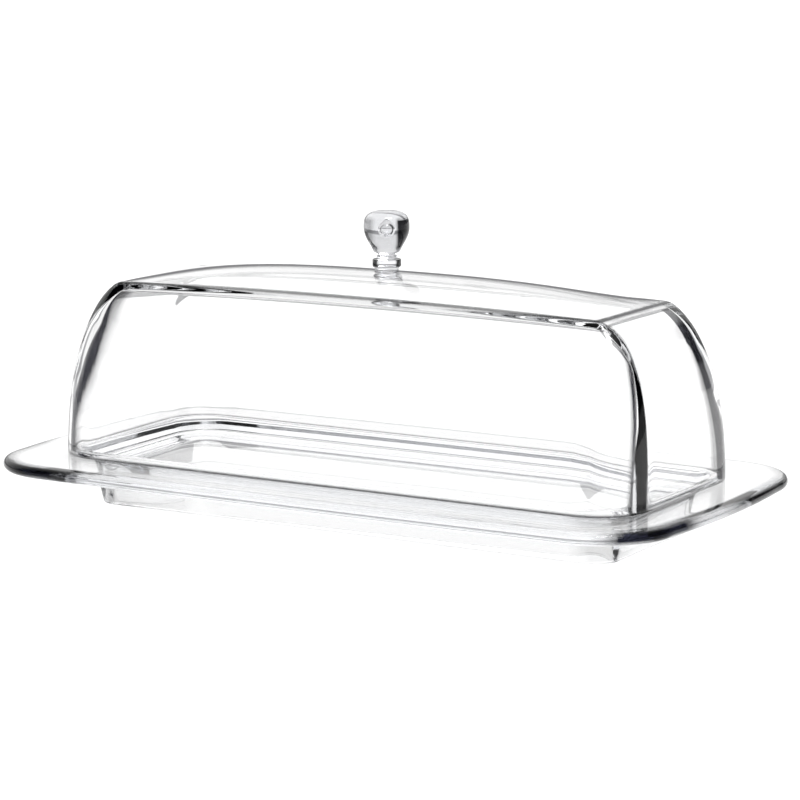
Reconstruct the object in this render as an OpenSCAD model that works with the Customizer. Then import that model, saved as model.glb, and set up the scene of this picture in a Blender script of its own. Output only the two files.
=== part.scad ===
// Clear moulded butter dish: a footed tray with a shallow well, a loaf-shaped
// lid that rests on the tray's flange round a low locating ridge, and a ball
// knob whose stem is fixed in a socket on the lid.
// Millimetres, +Z up. The origin is under the centre of the foot, on the
// surface that the dish stands on. X runs along the dish.

/* [Tray] */
// Overall length of the tray
tray_l = 200; // [190:1:220]
// Overall width of the tray
tray_w = 103; // [98:1:120]
// Corner radius of the tray's rim
tray_r = 21; // [12:1:28]
// How far each long rim side bows outwards at its middle
bow_side = 1.0; // [0:0.1:2]
// How far each rim end bows outwards at its middle
bow_end = 1.6; // [0:0.1:3]
// Height of the flange's top face above the table
flange_z = 13.5; // [12:0.5:18]
// Thickness of the flange
flange_t = 3.0; // [2.6:0.1:4]

/* [Foot and well] */
// Length of the foot's ring at the table
foot_l = 155; // [145:1:158]
// Width of the foot's ring at the table
foot_w = 52; // [46:1:54]
// Corner radius of the foot's ring at the table
foot_r = 8; // [6:0.5:12]
// How far the foot widens on its way up to the flange
foot_flare = 2.6; // [1:0.1:3]
// Width of the foot's ring
foot_t = 3.0; // [2.4:0.1:4]
// Height of the well's floor above the table
floor_z = 10.2; // [9.4:0.1:11.5]
// Thickness of the well's floor
floor_t = 3.0; // [2.4:0.1:4]
// Height of the locating ridge above the flange
ridge_h = 1.2; // [1:0.1:2.5]
// Width of the locating ridge
ridge_w = 2.0; // [1.6:0.1:3]

/* [Lid] */
// Length of the lid at its lower edge
lid_l = 173; // [165:1:180]
// Width of the lid at its lower edge
lid_w = 68; // [64:1:74]
// Corner radius of the lid at its lower edge
lid_r = 15.3; // [15.2:0.1:18]
// Height of the crease round the lid's top panel, above the table
crease_z = 59.2; // [52:0.2:68]
// How far the crease lies inside the lower edge, on every side
crease_in = 14.6; // [10:0.1:15]
// Rise of the pillowed top panel over the crease
pillow_h = 5.2; // [2:0.1:6]
// How far each long crease bows upwards at its middle
crease_bow = 0.9; // [0:0.1:2]
// How the long walls lean in: 1 leans evenly, more keeps them upright lower down
wall_n = 1.9; // [1.2:0.1:3]
// Wall thickness of the lid
lid_t = 3.2; // [2.4:0.1:3.4]
// Radius of the corners inside the lid, at its lower edge
in_r = 8; // [7.5:0.1:11]
// Gap between the lid's inner wall and the locating ridge
lid_gap = 0.5; // [0.3:0.1:1]
// Gap left under the lid's lower edge
seat_gap = 0.05; // [0.02:0.01:0.1]

/* [Knob] */
// Diameter of the knob's ball
knob_d = 11.94; // [10:0.02:14]
// Height of the knob's top above the lid's top
knob_h = 15.8; // [15:0.1:19]
// Diameter of the knob's stem
stem_d = 4.8; // [4:0.1:5.4]
// Outer diameter of the socket on the lid
socket_d = 7.5; // [7:0.1:8.5]
// Height of the socket above the lid's top
socket_h = 3.2; // [3:0.1:4]
// How deep the stem goes into the socket
stem_in = 2.9; // [2.6:0.1:3.6]

/* [Hidden] */
$fn = 72;
K = 7;          // arc steps in each corner of a ring
ML = 11;        // points along a long side
MS = 5;         // points along a short side
NP = 2 * (ML + MS) + 4 * (K + 1);
lid_z = flange_z + seat_gap;
top_z = crease_z + pillow_h;
prof_p = 2.73;  // the wall profile is part of a superellipse
prof_q = 2.67;
prof_c = 0.97;  // where the crease cuts it
clear = [0.93, 0.95, 0.97, 0.35];

// ---- rings: closed rounded rectangles with gently bowed sides ----
function arc(cx, cy, r, a0) =
    [for (i = [0:K]) [cx + r * cos(a0 + 90 * i / K), cy + r * sin(a0 + 90 * i / K)]];
function run(p, q, n, bow, m) =
    [for (j = [1:m]) let (t = j / (m + 1)) p + (q - p) * t + n * bow * 4 * t * (1 - t)];
function ring(a, b, r, ba = 0, bb = 0) =
    let (cx = a - ba - r, cy = b - bb - r)
    concat(
        arc(cx, cy, r, 0),
        run([cx, cy + r], [-cx, cy + r], [0, 1], bb, ML),
        arc(-cx, cy, r, 90),
        run([-cx - r, cy], [-cx - r, -cy], [-1, 0], ba, MS),
        arc(-cx, -cy, r, 180),
        run([-cx, -cy - r], [cx, -cy - r], [0, -1], bb, ML),
        arc(cx, -cy, r, 270),
        run([cx + r, -cy], [cx + r, cy], [1, 0], ba, MS));
function flat_ring(a, b, r, z, ba = 0, bb = 0) = [for (p = ring(a, b, r, ba, bb)) [p[0], p[1], z]];

// Skins a list of rings, closing the first and the last with a fan of triangles
module skin(rings, first, last) {
    n = len(rings);
    pts = concat([for (r = rings) each r], [first, last]);
    faces = concat(
        [for (i = [0:n - 2]) for (j = [0:NP - 1]) let (k = (j + 1) % NP)
            [i * NP + j, (i + 1) * NP + j, (i + 1) * NP + k]],
        [for (i = [0:n - 2]) for (j = [0:NP - 1]) let (k = (j + 1) % NP)
            [i * NP + j, (i + 1) * NP + k, i * NP + k]],
        [for (j = [0:NP - 1]) [n * NP, j, (j + 1) % NP]],
        [for (j = [0:NP - 1]) let (k = (j + 1) % NP) [n * NP + 1, (n - 1) * NP + k, (n - 1) * NP + j]]);
    polyhedron(points = pts, faces = faces, convexity = 6);
}

// ---- tray ----
function rim_ring(ins, z) =
    flat_ring(tray_l / 2 - ins, tray_w / 2 - ins, tray_r - ins, z, bow_end, bow_side);
function foot_ring(ins, z) =
    flat_ring(foot_l / 2 - ins, foot_w / 2 - ins, max(foot_r - ins, 1.5), z);
// outline of the lid's inner wall at its lower edge, inset by ins
function seat_ring(ins, z) =
    flat_ring(lid_l / 2 - lid_t - ins, lid_w / 2 - lid_t - ins, lid_r - lid_t - ins, z);
rim_e = flange_t / 2;
under_z = floor_z - floor_t;
well_in = lid_gap + ridge_w + 1.2;
tray_rings = concat(
    [foot_ring(foot_t + 0.8, under_z)],
    [foot_ring(foot_t + 0.1, under_z - 0.7)],
    [foot_ring(foot_t - 0.1, 0.5)],
    [foot_ring(foot_t - 0.6, 0)],
    [foot_ring(0.6, 0)],
    [foot_ring(0.15, 0.25)],
    [foot_ring(0, 0.8)],
    [foot_ring(-foot_flare * 0.45, (flange_z - flange_t) * 0.55)],
    [foot_ring(-foot_flare, flange_z - flange_t - 0.9)],
    [foot_ring(-foot_flare - 0.9, flange_z - flange_t)],
    [for (i = [0:6]) let (a = -90 + 30 * i)
        rim_ring(rim_e * (1 - cos(a)), flange_z - rim_e + rim_e * sin(a))],
    [seat_ring(lid_gap - 0.1, flange_z)],
    [seat_ring(lid_gap, flange_z + 0.3)],
    [seat_ring(lid_gap, flange_z + ridge_h - 0.5)],
    [seat_ring(lid_gap + 0.5, flange_z + ridge_h)],
    [seat_ring(lid_gap + ridge_w - 0.5, flange_z + ridge_h)],
    [seat_ring(lid_gap + ridge_w, flange_z + ridge_h - 0.5)],
    [seat_ring(well_in - 0.3, floor_z + 0.8)],
    [seat_ring(well_in + 0.6, floor_z)]);

module tray() {
    color(clear) skin(tray_rings, [0, 0, under_z], [0, 0, floor_z]);
}

// ---- lid ----
// inset of the wall at the height fraction u, and its slope
function prof_g(w) = 1 - pow(1 - pow(w, prof_q), 1 / prof_p);
function prof_d(w) = prof_q / prof_p * pow(1 - pow(w, prof_q), 1 / prof_p - 1) * pow(w, prof_q - 1);
wall_h = crease_z - lid_z;
function inset_x(u) = crease_in * prof_g(prof_c * u) / prof_g(prof_c);
function inset_y(u) = crease_in * pow(u, wall_n);
function lean_x(u) = atan(crease_in * prof_d(prof_c * max(u, 0.001)) * prof_c / prof_g(prof_c) / wall_h);
function lean_y(u) = atan(crease_in * wall_n * pow(max(u, 0.001), wall_n - 1) / wall_h);
// the outer corners tighten on their way up to the crease, and the cavity's are tighter still
function corner_r(u) = max(lid_r - (inset_x(u) + inset_y(u)) / 2, 0.5);
function cavity_r(u) = max(min(in_r, corner_r(u) - 0.3) * min(1, corner_r(u) / lid_r + 0.15), 0.4);
// 0 at the ends, 1 at the long sides, and between the two round a corner
function side_w(p, a, b, r) =
    let (ex = min(max((abs(p[0]) - (a - r)) / r, 0), 1), ey = min(max((abs(p[1]) - (b - r)) / r, 0), 1))
    pow(sin(atan2(ey, ex)), 2);
function bow(x, u) = crease_bow * (1 - pow(min(abs(x) / (lid_l / 2 - crease_in), 1), 2)) * pow(u, 4);
// the wall at the height fraction u: its outer face, or the cavity's face off behind it
function wall_ring(u, off = 0) =
    let (a = lid_l / 2 - inset_x(u) - off * cos(lean_x(u)), b = lid_w / 2 - inset_y(u) - off * cos(lean_y(u)),
        r = off > 0 ? cavity_r(u) : corner_r(u))
    [for (p = ring(a, b, r)) let (w = side_w(p, a, b, r))
        [p[0], p[1], lid_z + wall_h * u + bow(p[0], u) - off * ((1 - w) * sin(lean_x(u)) + w * sin(lean_y(u)))]];
// height of the pillowed panel, a by b, over its crease at the point p
function panel_z(p, a, b, z, h) =
    let (x = min(abs(p[0]) / a, 1), y = min(abs(p[1]) / b, 1))
    z + crease_bow * (1 - pow(x, 2)) + (h - crease_bow) * (1 - pow(x, 3.2)) * (1 - pow(y, 2));
// rings of the panel inside the crease ring edge, which they meet smoothly
function panel_ring(a, b, r, k, z, h, edge) =
    let (f = 1 - (1 - k) * (0.27 + 0.73 * (1 - k)), q = ring(a * f, b * k, max(r * k, 0.15)))
    [for (j = [0:len(q) - 1]) [q[j][0], q[j][1],
        panel_z(q[j], a, b, z, h) + (edge[j][2] - panel_z(edge[j], a, b, z, h)) * pow(k, 4)]];
steps = [0, 0.12, 0.24, 0.36, 0.47, 0.57, 0.66, 0.74, 0.81, 0.87, 0.92, 0.96, 0.985, 1];
ks = [0.93, 0.84, 0.72, 0.56, 0.36, 0.14];
a_out = lid_l / 2 - crease_in;
b_out = lid_w / 2 - crease_in;
edge_out = wall_ring(1);
edge_in = wall_ring(1, lid_t);
a_in = lid_l / 2 - crease_in - lid_t * cos(lean_x(1));
b_in = lid_w / 2 - crease_in - lid_t * cos(lean_y(1));
in_z = crease_z - lid_t * sin(lean_y(1));
in_h = top_z - lid_t - in_z;
lid_rings = concat(
    [for (i = [len(ks) - 1:-1:0]) panel_ring(a_in, b_in, cavity_r(1), ks[i], in_z, in_h, edge_in)],
    [for (i = [len(steps) - 1:-1:1]) wall_ring(steps[i], lid_t)],
    [[for (p = wall_ring(0, lid_t)) [p[0], p[1], lid_z]]],
    [for (u = steps) wall_ring(u)],
    [for (k = ks) panel_ring(a_out, b_out, corner_r(1), k, crease_z, pillow_h, edge_out)]);

module lid() {
    color(clear) difference() {
        union() {
            skin(lid_rings, [0, 0, in_z + in_h], [0, 0, top_z]);
            // socket for the knob's stem, waisted just above the lid
            translate([0, 0, top_z - 0.6]) rotate_extrude()
                polygon([[0, 0], [3.4, 0], [3.1, 0.9], [3.0, 1.4], [socket_d / 2 - 0.1, 1.9],
                    [socket_d / 2, 2.2], [socket_d / 2, socket_h + 0.4],
                    [socket_d / 2 - 0.2, socket_h + 0.6], [0, socket_h + 0.6]]);
        }
        translate([0, 0, top_z + socket_h - stem_in]) cylinder(h = stem_in + 1, d = stem_d);
    }
}

// ---- knob ----
ball_r = knob_d / 2;
knob_top = top_z + knob_h;
// the ball has square shoulders and draws in, like a pear, to a stepped foot
ball_z = knob_top - 4.4;
step_r = 3.6;
step_z = top_z + 5.5;
module knob() {
    color(clear) rotate_extrude() polygon(concat(
        [[0, top_z + socket_h - stem_in], [stem_d / 2, top_z + socket_h - stem_in], [stem_d / 2, top_z + 3.7],
         [2.7, top_z + 3.85], [2.7, top_z + 4.05], [2.25, top_z + 4.25], [2.25, top_z + 4.6], [3.35, step_z - 0.4]],
        [for (i = [0:8]) let (t = 1 - i / 8)
            [step_r + (ball_r - step_r) * pow(cos(90 * t), 1.2), ball_z - (ball_z - step_z) * t]],
        [for (t = [0.3, 0.5, 0.66, 0.78, 0.87, 0.93, 0.97, 0.99])
            [ball_r * pow(1 - pow(t, 3), 1 / 3), ball_z + (knob_top - ball_z) * t]],
        [[0, knob_top]]));
}

tray();
lid();
knob();
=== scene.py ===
import math

import bmesh
import bpy
import numpy as np
from mathutils import Matrix, Vector


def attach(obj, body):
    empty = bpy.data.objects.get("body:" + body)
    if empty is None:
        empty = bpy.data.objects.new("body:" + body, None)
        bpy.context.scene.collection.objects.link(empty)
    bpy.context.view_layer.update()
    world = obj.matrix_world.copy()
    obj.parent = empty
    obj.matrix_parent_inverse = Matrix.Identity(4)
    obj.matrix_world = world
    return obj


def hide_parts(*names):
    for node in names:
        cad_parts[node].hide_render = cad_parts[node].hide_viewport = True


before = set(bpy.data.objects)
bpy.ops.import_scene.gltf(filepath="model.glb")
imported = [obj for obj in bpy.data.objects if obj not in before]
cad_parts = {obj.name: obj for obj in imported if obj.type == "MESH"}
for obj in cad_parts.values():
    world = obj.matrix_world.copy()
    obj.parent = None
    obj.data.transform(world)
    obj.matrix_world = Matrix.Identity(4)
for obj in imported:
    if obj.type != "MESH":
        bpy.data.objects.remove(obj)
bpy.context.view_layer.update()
MM = 0.001

# ------------------------------------------------------------------ sizes, in mm, as in part.scad
tray_l, tray_w, tray_r, bow_side, bow_end = 200, 103, 21, 1.0, 1.6
flange_z, flange_t = 13.5, 3.0
foot_l, foot_w, foot_r, foot_flare, foot_t = 155, 52, 8, 2.6, 3.0
floor_z, floor_t, ridge_h, ridge_w = 10.2, 3.0, 1.2, 2.0
lid_l, lid_w, lid_r = 173, 68, 15.3
crease_z, crease_in, pillow_h, lid_t = 59.2, 14.6, 5.2, 3.2
crease_bow, wall_n, in_r = 0.9, 1.9, 8.0
lid_gap, seat_gap = 0.5, 0.05
knob_d, knob_h, stem_d, socket_d, socket_h, stem_in = 11.94, 15.8, 4.8, 7.5, 3.2, 2.9
lid_z = flange_z + seat_gap
top_z = crease_z + pillow_h
prof_p, prof_q, prof_c = 2.73, 2.67, 0.97

# ------------------------------------------------------------------ rings and skins
K, ML, MS = 20, 59, 25


def ring(a, b, r, ba=0.0, bb=0.0):
    cx, cy = a - ba - r, b - bb - r
    out = []

    def arc(x, y, a0):
        for i in range(K + 1):
            t = math.radians(a0 + 90 * i / K)
            out.append((x + r * math.cos(t), y + r * math.sin(t)))

    def run(p, q, n, bow, m):
        for j in range(1, m + 1):
            t = j / (m + 1)
            s = bow * 4 * t * (1 - t)
            out.append((p[0] + (q[0] - p[0]) * t + n[0] * s, p[1] + (q[1] - p[1]) * t + n[1] * s))

    arc(cx, cy, 0)
    run((cx, cy + r), (-cx, cy + r), (0, 1), bb, ML)
    arc(-cx, cy, 90)
    run((-cx - r, cy), (-cx - r, -cy), (-1, 0), ba, MS)
    arc(-cx, -cy, 180)
    run((-cx, -cy - r), (cx, -cy - r), (0, -1), bb, ML)
    arc(cx, -cy, 270)
    run((cx + r, -cy), (cx + r, cy), (1, 0), ba, MS)
    return np.array(out)


def flat_ring(a, b, r, z, ba=0.0, bb=0.0):
    p = ring(a, b, r, ba, bb)
    return np.column_stack([p, np.full(len(p), float(z))])


def ramp(v, lo, hi):
    """0 below lo and 1 above hi, or the other way round when hi is less than lo."""
    return np.clip((v - lo) / (hi - lo), 0, 1)


def mark(ob, name, values):
    at_ = ob.data.attributes.new(name, "FLOAT", "POINT")
    at_.data.foreach_set("value", np.asarray(values, np.float32))


def mesh_from_rings(name, rings, first, last, sharp=None):
    n, m = len(rings), len(rings[0])
    verts = np.concatenate(rings + [np.array([first, last], float)]) * MM
    faces = []
    for i in range(n - 1):
        for j in range(m):
            k = (j + 1) % m
            faces.append((i * m + j, i * m + k, (i + 1) * m + k, (i + 1) * m + j))
    for j in range(m):
        k = (j + 1) % m
        faces.append((n * m, k, j))
        faces.append((n * m + 1, (n - 1) * m + j, (n - 1) * m + k))
    me = bpy.data.meshes.new(name)
    me.from_pydata([tuple(v) for v in verts], [], faces)
    me.validate()
    me.update()
    for p in me.polygons:
        p.use_smooth = True
    ob = bpy.data.objects.new(name, me)
    bpy.context.scene.collection.objects.link(ob)
    return ob


def lathe(name, pts, n=128, z_axis=None):
    """Closed profile of (r, z) points in mm, from the axis back to the axis."""
    verts, faces, rows = [], [], []
    for r, z in pts:
        if r < 1e-6:
            rows.append([len(verts)])
            verts.append((0, 0, z * MM))
        else:
            rows.append(list(range(len(verts), len(verts) + n)))
            for i in range(n):
                a = 2 * math.pi * i / n
                verts.append((r * math.cos(a) * MM, r * math.sin(a) * MM, z * MM))
    for a, b in zip(rows, rows[1:]):
        for i in range(n):
            j = (i + 1) % n
            if len(a) == 1 and len(b) == 1:
                continue
            if len(a) == 1:
                faces.append((a[0], b[j], b[i]))
            elif len(b) == 1:
                faces.append((a[i], a[j], b[0]))
            else:
                faces.append((a[i], a[j], b[j], b[i]))
    me = bpy.data.meshes.new(name)
    me.from_pydata(verts, [], faces)
    me.update()
    for p in me.polygons:
        p.use_smooth = True
    ob = bpy.data.objects.new(name, me)
    bpy.context.scene.collection.objects.link(ob)
    return ob


def round_profile(pts, radii, seg=5):
    """Rounds the corners of an open polyline of (a, b) points; radii gives one radius per inner point."""
    out = [pts[0]]
    for i in range(1, len(pts) - 1):
        p0, p1, p2 = (np.array(pts[j], float) for j in (i - 1, i, i + 1))
        r = radii[i - 1] if not isinstance(radii, (int, float)) else radii
        u, v = p0 - p1, p2 - p1
        lu, lv = np.linalg.norm(u), np.linalg.norm(v)
        if r <= 0 or lu < 1e-9 or lv < 1e-9:
            out.append(tuple(p1))
            continue
        u, v = u / lu, v / lv
        ang = math.acos(max(-1, min(1, float(u @ v))))
        if ang > math.pi - 0.02:
            out.append(tuple(p1))
            continue
        cut = min(r / math.tan(ang / 2), 0.48 * lu, 0.48 * lv)
        rr = cut * math.tan(ang / 2)
        bis = (u + v) / np.linalg.norm(u + v)
        c = p1 + bis * (rr / math.sin(ang / 2))
        a, b = p1 + u * cut, p1 + v * cut
        va, vb = a - c, b - c
        a0 = math.atan2(va[1], va[0])
        a1 = math.atan2(vb[1], vb[0])
        d = (a1 - a0 + math.pi) % (2 * math.pi) - math.pi
        for s in range(seg + 1):
            t = a0 + d * s / seg
            out.append((c[0] + rr * math.cos(t), c[1] + rr * math.sin(t)))
    out.append(pts[-1])
    return out


# ------------------------------------------------------------------ tray
under_z = floor_z - floor_t
well_in = lid_gap + ridge_w + 1.2
rim_e = flange_t / 2


def make_tray():
    def rim(ins, z):
        return flat_ring(tray_l / 2 - ins, tray_w / 2 - ins, tray_r - ins, z, bow_end, bow_side)

    def foot(ins, z):
        return flat_ring(foot_l / 2 - ins, foot_w / 2 - ins, max(foot_r - ins, 1.5), z)

    def seat(ins, z):
        return flat_ring(lid_l / 2 - lid_t - ins, lid_w / 2 - lid_t - ins, lid_r - lid_t - ins, z)

    foot_pts = round_profile(
        [(foot_t + 1.6, under_z), (foot_t + 0.1, under_z), (foot_t - 0.3, 0), (0.15, 0), (0, 0.8),
         (-foot_flare * 0.45, (flange_z - flange_t) * 0.55), (-foot_flare, flange_z - flange_t), (-foot_flare - 2.5, flange_z - flange_t)],
        [0.8, 0.5, 0.4, 2, 6, 0.9], 6)
    rings = [foot(foot_t + 8, under_z)] + [foot(d, z) for d, z in foot_pts]
    rings += [rim(5.0, flange_z - flange_t)]
    rim_0 = len(rings)
    rings += [rim(rim_e * (1 - math.cos(math.radians(a))), flange_z - rim_e + rim_e * math.sin(math.radians(a))) for a in range(-90, 91, 15)]
    rings += [rim(5.0, flange_z)]
    seat_pts = round_profile(
        [(lid_gap - 3.0, flange_z), (lid_gap, flange_z), (lid_gap, flange_z + ridge_h), (lid_gap + ridge_w, flange_z + ridge_h),
         (well_in - 0.1, floor_z), (well_in + 3, floor_z)], [0.2, 0.5, 0.5, 0.8], 6)
    rings += [seat(d, z) for d, z in seat_pts]
    ob = mesh_from_rings("tray_clear", rings, (0, 0, under_z), (0, 0, floor_z))
    # painted shade: dark bands on the corners of the rim and the foot, standing in for dark surroundings refracted
    # there
    m = len(rings[0])
    painted_shade = np.zeros(len(ob.data.vertices))
    for i, v in enumerate((0.3, 0.6, 0.6, 0.7, 0.8, 1, 1, 1, 1, 1, 1, 1, 0.9)):
        x, y = rings[rim_0 + i][:, 0], rings[rim_0 + i][:, 1]
        w = ramp(x, -61, -72) * ramp(y, -10, -20)
        w = np.maximum(w, ramp(x, 85, 91) * ramp(y, -17, -23))
        w = np.maximum(w, 0.7 * ramp(x, 60, 70) * ramp(y, -6, 2) * ramp(y, 50, 44))
        w = np.maximum(w, 0.3 * ramp(x, -70, -80) * ramp(y, 30, 36))
        painted_shade[(rim_0 + i) * m:(rim_0 + i + 1) * m] = v * w
    for i in range(1, rim_0 - 1):
        x, y = rings[i][:, 0], rings[i][:, 1]
        out_ = 1.0 if i > len(foot_pts) - 20 else 0.0
        w = 0.55 * ramp(x, -45, -76) * ramp(y, -16, -22)
        w = np.maximum(w, 0.4 * ramp(x, 68, 73) * ramp(y, -10, -20))
        painted_shade[i * m:(i + 1) * m] = out_ * w
    mark(ob, "painted_shade_mask", painted_shade)
    return ob


# ------------------------------------------------------------------ lid
def prof_g(w):
    return 1 - (1 - w**prof_q) ** (1 / prof_p)


def prof_d(w):
    return prof_q / prof_p * (1 - w**prof_q) ** (1 / prof_p - 1) * w ** (prof_q - 1)


wall_h = crease_z - lid_z


def inset_x(u):
    return crease_in * prof_g(prof_c * u) / prof_g(prof_c)


def inset_y(u):
    return crease_in * u**wall_n


def lean_x(u):
    return math.atan(crease_in * prof_d(prof_c * max(u, 0.001)) * prof_c / prof_g(prof_c) / wall_h)


def lean_y(u):
    return math.atan(crease_in * wall_n * max(u, 0.001) ** (wall_n - 1) / wall_h)


def corner_r(u):
    return max(lid_r - (inset_x(u) + inset_y(u)) / 2, 0.5)


def cavity_r(u):
    return max(min(in_r, corner_r(u) - 0.3) * min(1.0, corner_r(u) / lid_r + 0.15), 0.4)


def sides(p, a, b, r):
    """For each ring point, 0 on the ends, 1 on the long sides, and between the two round a corner."""
    ex = np.clip((np.abs(p[:, 0]) - (a - r)) / r, 0, 1)
    ey = np.clip((np.abs(p[:, 1]) - (b - r)) / r, 0, 1)
    t = np.arctan2(ey, ex)
    return np.sin(t) ** 2, np.degrees(t)


def bow(x, u):
    return crease_bow * (1 - np.minimum(np.abs(x) / (lid_l / 2 - crease_in), 1) ** 2) * u**4


def wall_ring(u, off=0.0):
    """Ring of the wall at the height fraction u: the outer face, or off behind it with the cavity's tighter corners."""
    a = lid_l / 2 - inset_x(u) - off * math.cos(lean_x(u))
    b = lid_w / 2 - inset_y(u) - off * math.cos(lean_y(u))
    r = corner_r(u)
    if off:
        r = cavity_r(u)
    p = ring(a, b, r)
    z = lid_z + wall_h * u + bow(p[:, 0], u) - off * math.sin(lean_x(u))
    return np.column_stack([p, z])


def f_k(k):
    return 1 - (1 - k) * (0.27 + 0.73 * (1 - k))


def panel_ring(a, b, r, k, z, h):
    p = ring(a * f_k(k), b * k, max(r * k, 0.15))
    x, y = np.minimum(np.abs(p[:, 0]) / a, 1), np.minimum(np.abs(p[:, 1]) / b, 1)
    return np.column_stack([p, z + crease_bow * (1 - x**2) + (h - crease_bow) * (1 - x**3.2) * (1 - y**2)])


def rounded(pa, pc, pb, n=6):
    return [(1 - t) ** 2 * pa + 2 * t * (1 - t) * pc + t * t * pb for t in [i / n for i in range(n + 1)]]


# strength of the painted dark line along the crease, away from its ends
PAINTED_CREASE_SHADE = 0.92


def make_lid():
    steps = [i / 40 * 0.98 for i in range(41)]
    ks = [0.93, 0.9, 0.86, 0.81, 0.75, 0.68, 0.6, 0.52, 0.44, 0.36, 0.28, 0.2, 0.12, 0.05]
    a_out, b_out = lid_l / 2 - crease_in, lid_w / 2 - crease_in
    c_out, c_in = wall_ring(1.0), wall_ring(1.0, lid_t)
    a_in = lid_l / 2 - crease_in - lid_t * math.cos(lean_x(1))
    b_in = lid_w / 2 - crease_in - lid_t * math.cos(lean_y(1))
    z_in = crease_z - lid_t * math.sin(lean_x(1))
    h_in = top_z - lid_t - z_in
    r_in = cavity_r(1)
    inner_panel = [panel_ring(a_in, b_in, r_in, k, z_in, h_in) for k in ks]
    rings = list(reversed(inner_panel))
    rings += rounded(panel_ring(a_in, b_in, r_in, 0.95, z_in, h_in), c_in, wall_ring(0.985, lid_t))
    rings += [wall_ring(u, lid_t) for u in reversed(steps[1:])]
    foot_in = wall_ring(0.0, lid_t)
    first_inner = len(rings)
    foot_out = wall_ring(0.0)

    def at(base, other, k, z):
        q = base + (other - base) * k
        q[:, 2] = z
        return q

    e = 0.4 / lid_t
    foot_0 = len(rings)
    rings += [at(foot_in, foot_out, 0, lid_z + 0.4), at(foot_in, foot_out, e * 0.3, lid_z + 0.12), at(foot_in, foot_out, e, lid_z)]
    rings += [at(foot_out, foot_in, e, lid_z), at(foot_out, foot_in, e * 0.3, lid_z + 0.12), at(foot_out, foot_in, 0, lid_z + 0.4)]
    rings += [wall_ring(u) for u in steps[1:]]
    crease_0 = len(rings)
    rings += rounded(wall_ring(0.985), c_out, panel_ring(a_out, b_out, corner_r(1), 0.95, crease_z, pillow_h))
    crease_1 = len(rings)
    rings += [panel_ring(a_out, b_out, corner_r(1), k, crease_z, pillow_h) for k in ks]
    ob = mesh_from_rings("lid_clear", rings, (0, 0, top_z - lid_t), (0, 0, top_z))
    # how far each point of the cavity's wall is inside a vertical corner, for the painted dark band there, which stands
    # in for the corners' dark refraction
    painted_corner_shade = np.zeros(len(ob.data.vertices), np.float32)
    m = len(rings[0])
    for i in range(first_inner):
        q = rings[i]
        a, b = q[:, 0].max(), q[:, 1].max()
        u = min(max((q[:, 2].mean() - lid_z) / wall_h, 0), 1)
        r = cavity_r(u)
        _, t = sides(q, a, b, r)
        left, near = q[:, 0] < 0, q[:, 1] < 0
        # along the wall from the corner's start on the end, in mm
        s_ = np.where(np.abs(q[:, 1]) < b - r, np.abs(q[:, 1]) - (b - r), np.radians(t) * r + np.maximum(a - r - np.abs(q[:, 0]), 0))
        lo = np.where(left & near, -1.2, np.where(~left & ~near, -2.2, np.where(left, 0.08 * r, -0.3)))
        hi = np.where(left & near, 1.5 * r + 0.6 + 3.2 * min(max((u - 0.2) / 0.4, 0), 1), np.where(~left & ~near, 1.5 * r, np.where(left, 0.74 * r, 0.42 * r)))
        soft = np.where(~left & ~near, 1.0, np.where(left & near, 2.8, 0.16 * r))
        fade = 1.0 if i > len(inner_panel) + 5 else 0.0
        fade = fade * np.where(left & ~near, 0.5 * ramp(u, 0.85, 0.7), 1.0) * np.where(~left & ~near, 6.0, 1.0)
        painted_corner_shade[i * m:(i + 1) * m] = fade * np.clip((s_ - lo) / soft, 0, 1) * np.clip((hi - s_) / soft, 0, 1)
    # painted shade: a dark line on the crease's own small round, slightly weaker away from the ends, standing in for
    # the dark refraction there
    painted_shade_mask = np.zeros_like(painted_corner_shade)
    for i, v in zip(range(crease_0, crease_1), (0, 0.5, 1, 1, 1, 0.5, 0)):
        q = rings[i]
        painted_shade_mask[i * m:(i + 1) * m] = v * (PAINTED_CREASE_SHADE + (1 - PAINTED_CREASE_SHADE) * ramp(np.abs(q[:, 0]), a_out - 3, a_out - 1))
    # and a painted dark line on the foot's outer edge
    for i, v in zip(range(foot_0, foot_0 + 6), (0, 0, 0.5, 1, 1, 0.9)):
        painted_shade_mask[i * m:(i + 1) * m] = v
    mark(ob, "painted_shade_mask", painted_shade_mask)
    mark(ob, "painted_corner_shade", painted_corner_shade)
    return ob


# the view's sideways direction and the direction towards the camera, for where painted shade goes on the knob and
# socket
SIDE, TOWARDS = (0.852, 0.524), (0.524, -0.852)


def make_socket():
    z0 = top_z - 0.6
    pts = [(0, z0), (3.4, z0), (3.1, z0 + 0.9), (3.0, z0 + 1.4), (socket_d / 2 - 0.1, z0 + 1.9), (socket_d / 2, z0 + 2.2),
           (socket_d / 2, z0 + socket_h + 0.4), (socket_d / 2 - 0.2, z0 + socket_h + 0.6), (0, z0 + socket_h + 0.6)]
    ob = lathe("lid_socket", round_profile(pts, [0.1, 0.4, 0.4, 0.2, 0.2, 0.1, 0.1], 4))
    q = np.array([v.co[:] for v in ob.data.vertices]) / MM
    across = np.abs(q[:, 0] * SIDE[0] + q[:, 1] * SIDE[1])
    # painted shade on the collar's left and right sides as seen from the camera, above its lowest part
    mark(ob, "painted_shade_mask", ramp(across, 2.0, 2.6) * ramp(q[:, 2], z0 + 1.7, z0 + 2.0))
    return ob


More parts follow.
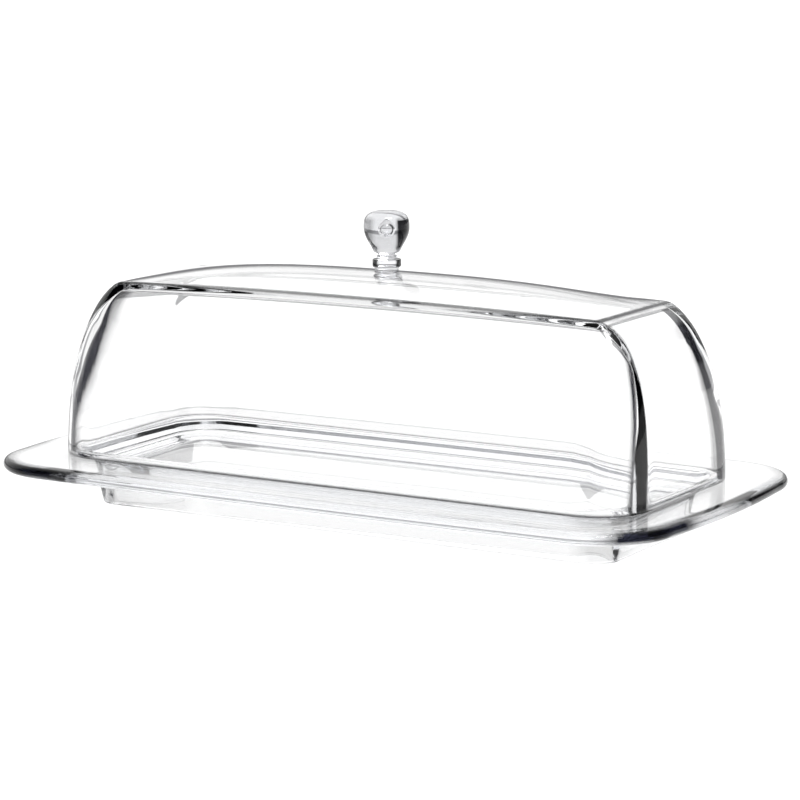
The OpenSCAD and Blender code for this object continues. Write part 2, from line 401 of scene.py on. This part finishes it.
def make_knob():
    ball_r, knob_top = knob_d / 2, top_z + knob_h
    ball_z, step_r, step_z = knob_top - 4.4, 3.6, top_z + 5.5
    z0 = top_z + socket_h + 0.02
    foot = round_profile([(0, z0), (2.38, z0), (2.38, top_z + 3.7), (2.7, top_z + 3.85), (2.7, top_z + 4.05), (2.25, top_z + 4.25),
                          (2.25, top_z + 4.6), (3.35, step_z - 0.4), (3.6, step_z)], [0, 0.05, 0.06, 0.06, 0.1, 0.1, 0.15], 4)
    pts = foot[:-1]
    for i in range(25):
        t = 1 - i / 24
        pts.append((step_r + (ball_r - step_r) * math.cos(math.radians(90 * t)) ** 1.2 if t < 1 else step_r, ball_z - (ball_z - step_z) * t))
    for i in range(1, 30):
        t = math.sin(math.radians(90 * i / 30))
        pts.append((ball_r * (1 - t**3) ** (1 / 3), ball_z + (knob_top - ball_z) * t))
    pts.append((0, knob_top))
    ob = lathe("knob_clear", pts)
    # the small round bubble in the ball
    bm = bmesh.new()
    bm.from_mesh(ob.data)
    new = bmesh.ops.create_uvsphere(bm, u_segments=48, v_segments=32, radius=1.5 * MM, matrix=Matrix.Translation((0, 0, (ball_z - 0.3) * MM)))
    faces = {f for v in new["verts"] for f in v.link_faces}
    bmesh.ops.reverse_faces(bm, faces=list(faces))
    for f in faces:
        f.smooth = True
    bm.to_mesh(ob.data)
    bm.free()
    # painted shade on the ball: darkest on the side along SIDE, a little less on the opposite side, only on the half
    # facing TOWARDS; it stands in for dark surroundings seen in the glass
    q = np.array([v.co[:] for v in ob.data.vertices]) / MM
    s_ = (q[:, 0] * SIDE[0] + q[:, 1] * SIDE[1]) / ball_r
    near = q[:, 0] * TOWARDS[0] + q[:, 1] * TOWARDS[1] > -0.8
    h = q[:, 2] - ball_z
    painted_shade = ramp(s_, 0.36, 0.48) * ramp(h, -5.8, -4.8) * ramp(h, 3.2, 2.2)
    painted_shade = np.maximum(painted_shade, 0.75 * ramp(s_, -0.45, -0.7) * ramp(h, -4.5, -3) * ramp(h, 3.4, 2.2))
    mark(ob, "painted_shade_mask", painted_shade * near)
    return ob


# ------------------------------------------------------------------ materials
def clear(name, tint, ior=1.49, rough=0.0, absorb=None, density=0.0, painted_shade=(0.03, 0.03, 0.035), painted_corner_shade=0.0, rim=None):
    m = bpy.data.materials.new(name)
    m.use_nodes = True
    nt = m.node_tree
    p = nt.nodes["Principled BSDF"]
    out = nt.nodes["Material Output"]
    p.inputs["Roughness"].default_value = rough
    p.inputs["IOR"].default_value = ior
    p.inputs["Transmission Weight"].default_value = 1.0

    def op(kind, a, b=None, c=None, clamp=False):
        n = nt.nodes.new("ShaderNodeMath")
        n.operation = kind
        n.use_clamp = clamp
        for i, v in enumerate((a, b, c)):
            if v is None:
                continue
            if isinstance(v, (int, float)):
                n.inputs[i].default_value = v
            else:
                nt.links.new(v, n.inputs[i])
        return n.outputs[0]

    def attr(name_):
        n = nt.nodes.new("ShaderNodeAttribute")
        n.attribute_name = name_
        return n.outputs["Fac"]

    lp = nt.nodes.new("ShaderNodeLightPath")
    gm = nt.nodes.new("ShaderNodeNewGeometry")
    tr = nt.nodes.new("ShaderNodeBsdfTransparent")
    tr.inputs["Color"].default_value = (0.992, 0.992, 0.992, 1)
    mix = nt.nodes.new("ShaderNodeMixShader")
    nt.links.new(op("MAXIMUM", lp.outputs["Is Shadow Ray"], lp.outputs["Is Diffuse Ray"]), mix.inputs[0])
    nt.links.new(p.outputs[0], mix.inputs[1])
    nt.links.new(tr.outputs[0], mix.inputs[2])
    nt.links.new(mix.outputs[0], out.inputs["Surface"])
    # how much painted shade: the marked lines, the marked corners (fainter from outside) and the turned-away edges, all
    # painted darkness standing in for dark surroundings seen through the clear plastic
    total = attr("painted_shade_mask")
    if painted_corner_shade > 0:
        side = op("MULTIPLY_ADD", gm.outputs["Backfacing"], painted_corner_shade * 0.85, painted_corner_shade * 0.15)
        side = op("MULTIPLY", side, op("SUBTRACT", 1.0, lp.outputs["Is Reflection Ray"]))
        total = op("MULTIPLY_ADD", attr("painted_corner_shade"), side, total, clamp=True)
    # painted shade at grazing angles, on faces seen from outside only
    if rim:
        lw = nt.nodes.new("ShaderNodeLayerWeight")
        lw.inputs["Blend"].default_value = 0.5
        mr = nt.nodes.new("ShaderNodeMapRange")
        nt.links.new(lw.outputs["Facing"], mr.inputs["Value"])
        mr.inputs["From Min"].default_value, mr.inputs["From Max"].default_value = rim[0], rim[1]
        mr.inputs["To Max"].default_value = rim[2]
        painted_edge_shade = op("MULTIPLY", mr.outputs[0], op("SUBTRACT", 1.0, gm.outputs["Backfacing"]))
        total = op("ADD", total, painted_edge_shade, clamp=True)
    # the base colour turns to the painted shade colour where marked
    col = nt.nodes.new("ShaderNodeMix")
    col.data_type = "RGBA"
    nt.links.new(total, col.inputs[0])
    col.inputs[6].default_value = (*tint, 1)
    col.inputs[7].default_value = (*painted_shade, 1)
    nt.links.new(col.outputs[2], p.inputs["Base Color"])
    # and the reflections are darkened there too, as painted shade
    spec = nt.nodes.new("ShaderNodeMix")
    spec.data_type = "RGBA"
    nt.links.new(total, spec.inputs[0])
    spec.inputs[6].default_value = (1, 1, 1, 1)
    spec.inputs[7].default_value = (0.05, 0.05, 0.06, 1)
    nt.links.new(spec.outputs[2], p.inputs["Specular Tint"])
    if density > 0:
        v = nt.nodes.new("ShaderNodeVolumeAbsorption")
        v.inputs["Color"].default_value = (*absorb, 1)
        v.inputs["Density"].default_value = density
        nt.links.new(v.outputs[0], out.inputs["Volume"])
    return m


# the near-black colours given here are each material's painted shade, laid where its marks are
mat_tray = clear("clear_tray", (1, 1, 1), absorb=(0.7, 0.74, 0.82), density=6, painted_shade=(0.0008, 0.0009, 0.0022))
mat_lid = clear("clear_lid", (1, 1, 1), absorb=(0.6, 0.62, 0.66), density=6, painted_shade=(0.003, 0.003, 0.004), painted_corner_shade=1.0, rim=(0.815, 0.85, 1.0))
mat_knob = clear("clear_knob", (0.9, 0.9, 0.91), absorb=(0.2, 0.22, 0.26), density=30, painted_shade=(0.0005, 0.0005, 0.0006), rim=(0.7, 1.0, 0.9))
mat_socket = clear("clear_socket", (0.95, 0.95, 0.96), absorb=(0.2, 0.22, 0.26), density=30, painted_shade=(0.002, 0.002, 0.002), rim=(0.7, 1.0, 0.9))

tray = make_tray()
lid = make_lid()
socket = make_socket()
knob = make_knob()
for ob, m, body, slot in ((tray, mat_tray, "tray", "clear_tray"), (lid, mat_lid, "lid", "clear_lid"),
                          (socket, mat_socket, "lid", "clear_lid"), (knob, mat_knob, "lid", "clear_knob")):
    ob.data.materials.append(m)
    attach(ob, body)
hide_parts("tray")
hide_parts("lid")
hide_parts("knob")

# ------------------------------------------------------------------ stage
def plane(name, sx, sy, z, cx=0.0, cy=0.0):
    me = bpy.data.meshes.new(name)
    me.from_pydata([(cx - sx, cy - sy, z), (cx + sx, cy - sy, z), (cx + sx, cy + sy, z), (cx - sx, cy + sy, z)], [], [(0, 1, 2, 3)])
    ob = bpy.data.objects.new(name, me)
    bpy.context.scene.collection.objects.link(ob)
    return ob


floor = plane("floor", 30, 30, -0.0002)
fm = bpy.data.materials.new("floor_pale")
fm.use_nodes = True
fp = fm.node_tree.nodes["Principled BSDF"]
fp.inputs["Base Color"].default_value = (0.9, 0.9, 0.9, 1)
fp.inputs["Roughness"].default_value = 0.9
fp.inputs["Specular IOR Level"].default_value = 0.0
floor.data.materials.append(fm)

SKY_HIGH = (1.0, 1.0, 1.0)
SUN_E = 2.6
world = bpy.data.worlds.new("studio")
bpy.context.scene.world = world
world.use_nodes = True
nt = world.node_tree
bg = nt.nodes["Background"]
geo = nt.nodes.new("ShaderNodeTexCoord")
sep = nt.nodes.new("ShaderNodeSeparateXYZ")
nt.links.new(geo.outputs["Generated"], sep.inputs[0])


def math_node(op, a, b=None):
    n = nt.nodes.new("ShaderNodeMath")
    n.operation = op
    for i, v in enumerate((a, b)):
        if v is None:
            continue
        if isinstance(v, (int, float)):
            n.inputs[i].default_value = v
        else:
            nt.links.new(v, n.inputs[i])
    return n.outputs[0]


def ramp_node(fac, stops):
    r = nt.nodes.new("ShaderNodeValToRGB")
    nt.links.new(fac, r.inputs[0])
    el = r.color_ramp.elements
    while len(el) > 1:
        el.remove(el[-1])
    el[0].position, el[0].color = stops[0][0], (*stops[0][1], 1)
    for p, c in stops[1:]:
        x = el.new(p)
        x.color = (*c, 1)
    return r.outputs[0]


# direction seen, as degrees round from -Y through +X, over 360
turn = math_node("FRACT", math_node("ADD", math_node("DIVIDE", math_node("ARCTAN2", sep.outputs["X"], math_node("MULTIPLY", sep.outputs["Y"], -1.0)), 2 * math.pi), 1.0))
G, D = (1.0, 1.0, 1.0), (0.02, 0.02, 0.025)


def deg(x):
    return x / 360.0


def el_ramp(stops):
    return ramp_node(sep.outputs["Z"], [(math.sin(math.radians(a)), (v, v, v)) for a, v in stops])


def mix_rgb(fac, a, b):
    n = nt.nodes.new("ShaderNodeMix")
    n.data_type = "RGBA"
    nt.links.new(fac, n.inputs[0])
    for i, v in ((6, a), (7, b)):
        if isinstance(v, tuple):
            n.inputs[i].default_value = (*v, 1)
        else:
            nt.links.new(v, n.inputs[i])
    return n.outputs[2]


# bright panels in front of and behind the table, dark ones at its sides, a dark gap under them and a soft box overhead
sector = ramp_node(turn, [(0, D), (deg(28), D), (deg(34), G), (deg(56), G), (deg(62), D), (deg(164), D), (deg(170), G), (deg(284), G), (deg(290), D), (1, D)])
gap = el_ramp([(0, 0), (6.3, 0), (8.2, 1), (90, 1)])
over = el_ramp([(0, 0), (42, 0), (58, 1), (90, 1)])
c0 = mix_rgb(gap, (0.4, 0.4, 0.41), sector)
c1 = mix_rgb(over, c0, SKY_HIGH)
lpw = nt.nodes.new("ShaderNodeLightPath")
mixd = nt.nodes.new("ShaderNodeMix")
mixd.data_type = "RGBA"
nt.links.new(lpw.outputs["Is Camera Ray"], mixd.inputs[0])
nt.links.new(c1, mixd.inputs[6])
mixd.inputs[7].default_value = (1, 1, 1, 1)
nt.links.new(mixd.outputs[2], bg.inputs["Color"])
bg.inputs["Strength"].default_value = 1.0

sun = bpy.data.lights.new("overhead", "SUN")
sun.energy = SUN_E
sun.angle = math.radians(25)
sun_ob = bpy.data.objects.new("overhead", sun)
bpy.context.scene.collection.objects.link(sun_ob)
sun_ob.rotation_euler = Vector((-0.35, 0.25, -1)).to_track_quat("-Z", "Y").to_euler()

# ------------------------------------------------------------------ camera
az, el, roll = math.radians(31.58), math.radians(9.035), math.radians(-0.43)
back = Vector((math.sin(az) * math.cos(el), -math.cos(az) * math.cos(el), math.sin(el)))
right = Vector((math.cos(az), math.sin(az), 0))
up = back.cross(right)
r2 = math.cos(roll) * right + math.sin(roll) * up
u2 = -math.sin(roll) * right + math.cos(roll) * up
S = 1.049
aim = Vector((0, 0, 45 * S * MM))
pos = aim + back * (781.4 * S * MM)
cam_data = bpy.data.cameras.new("camera")
cam_data.sensor_width = 36
cam_data.lens = 3156.5 / 800 * 36
cam_data.shift_x = (400 - 387.4) / 800
cam_data.shift_y = (336.6 - 400) / 800
cam_data.clip_start, cam_data.clip_end = 0.05, 30
cam = bpy.data.objects.new("camera", cam_data)
bpy.context.scene.collection.objects.link(cam)
cam.matrix_world = Matrix.Translation(pos) @ Matrix((r2, u2, back)).transposed().to_4x4()
scene = bpy.context.scene
scene.camera = cam
scene.view_settings.view_transform = "Standard"
scene.cycles.max_bounces = 24
scene.cycles.transmission_bounces = 24
scene.cycles.glossy_bounces = 12
scene.cycles.transparent_max_bounces = 24
scene.cycles.diffuse_bounces = 3
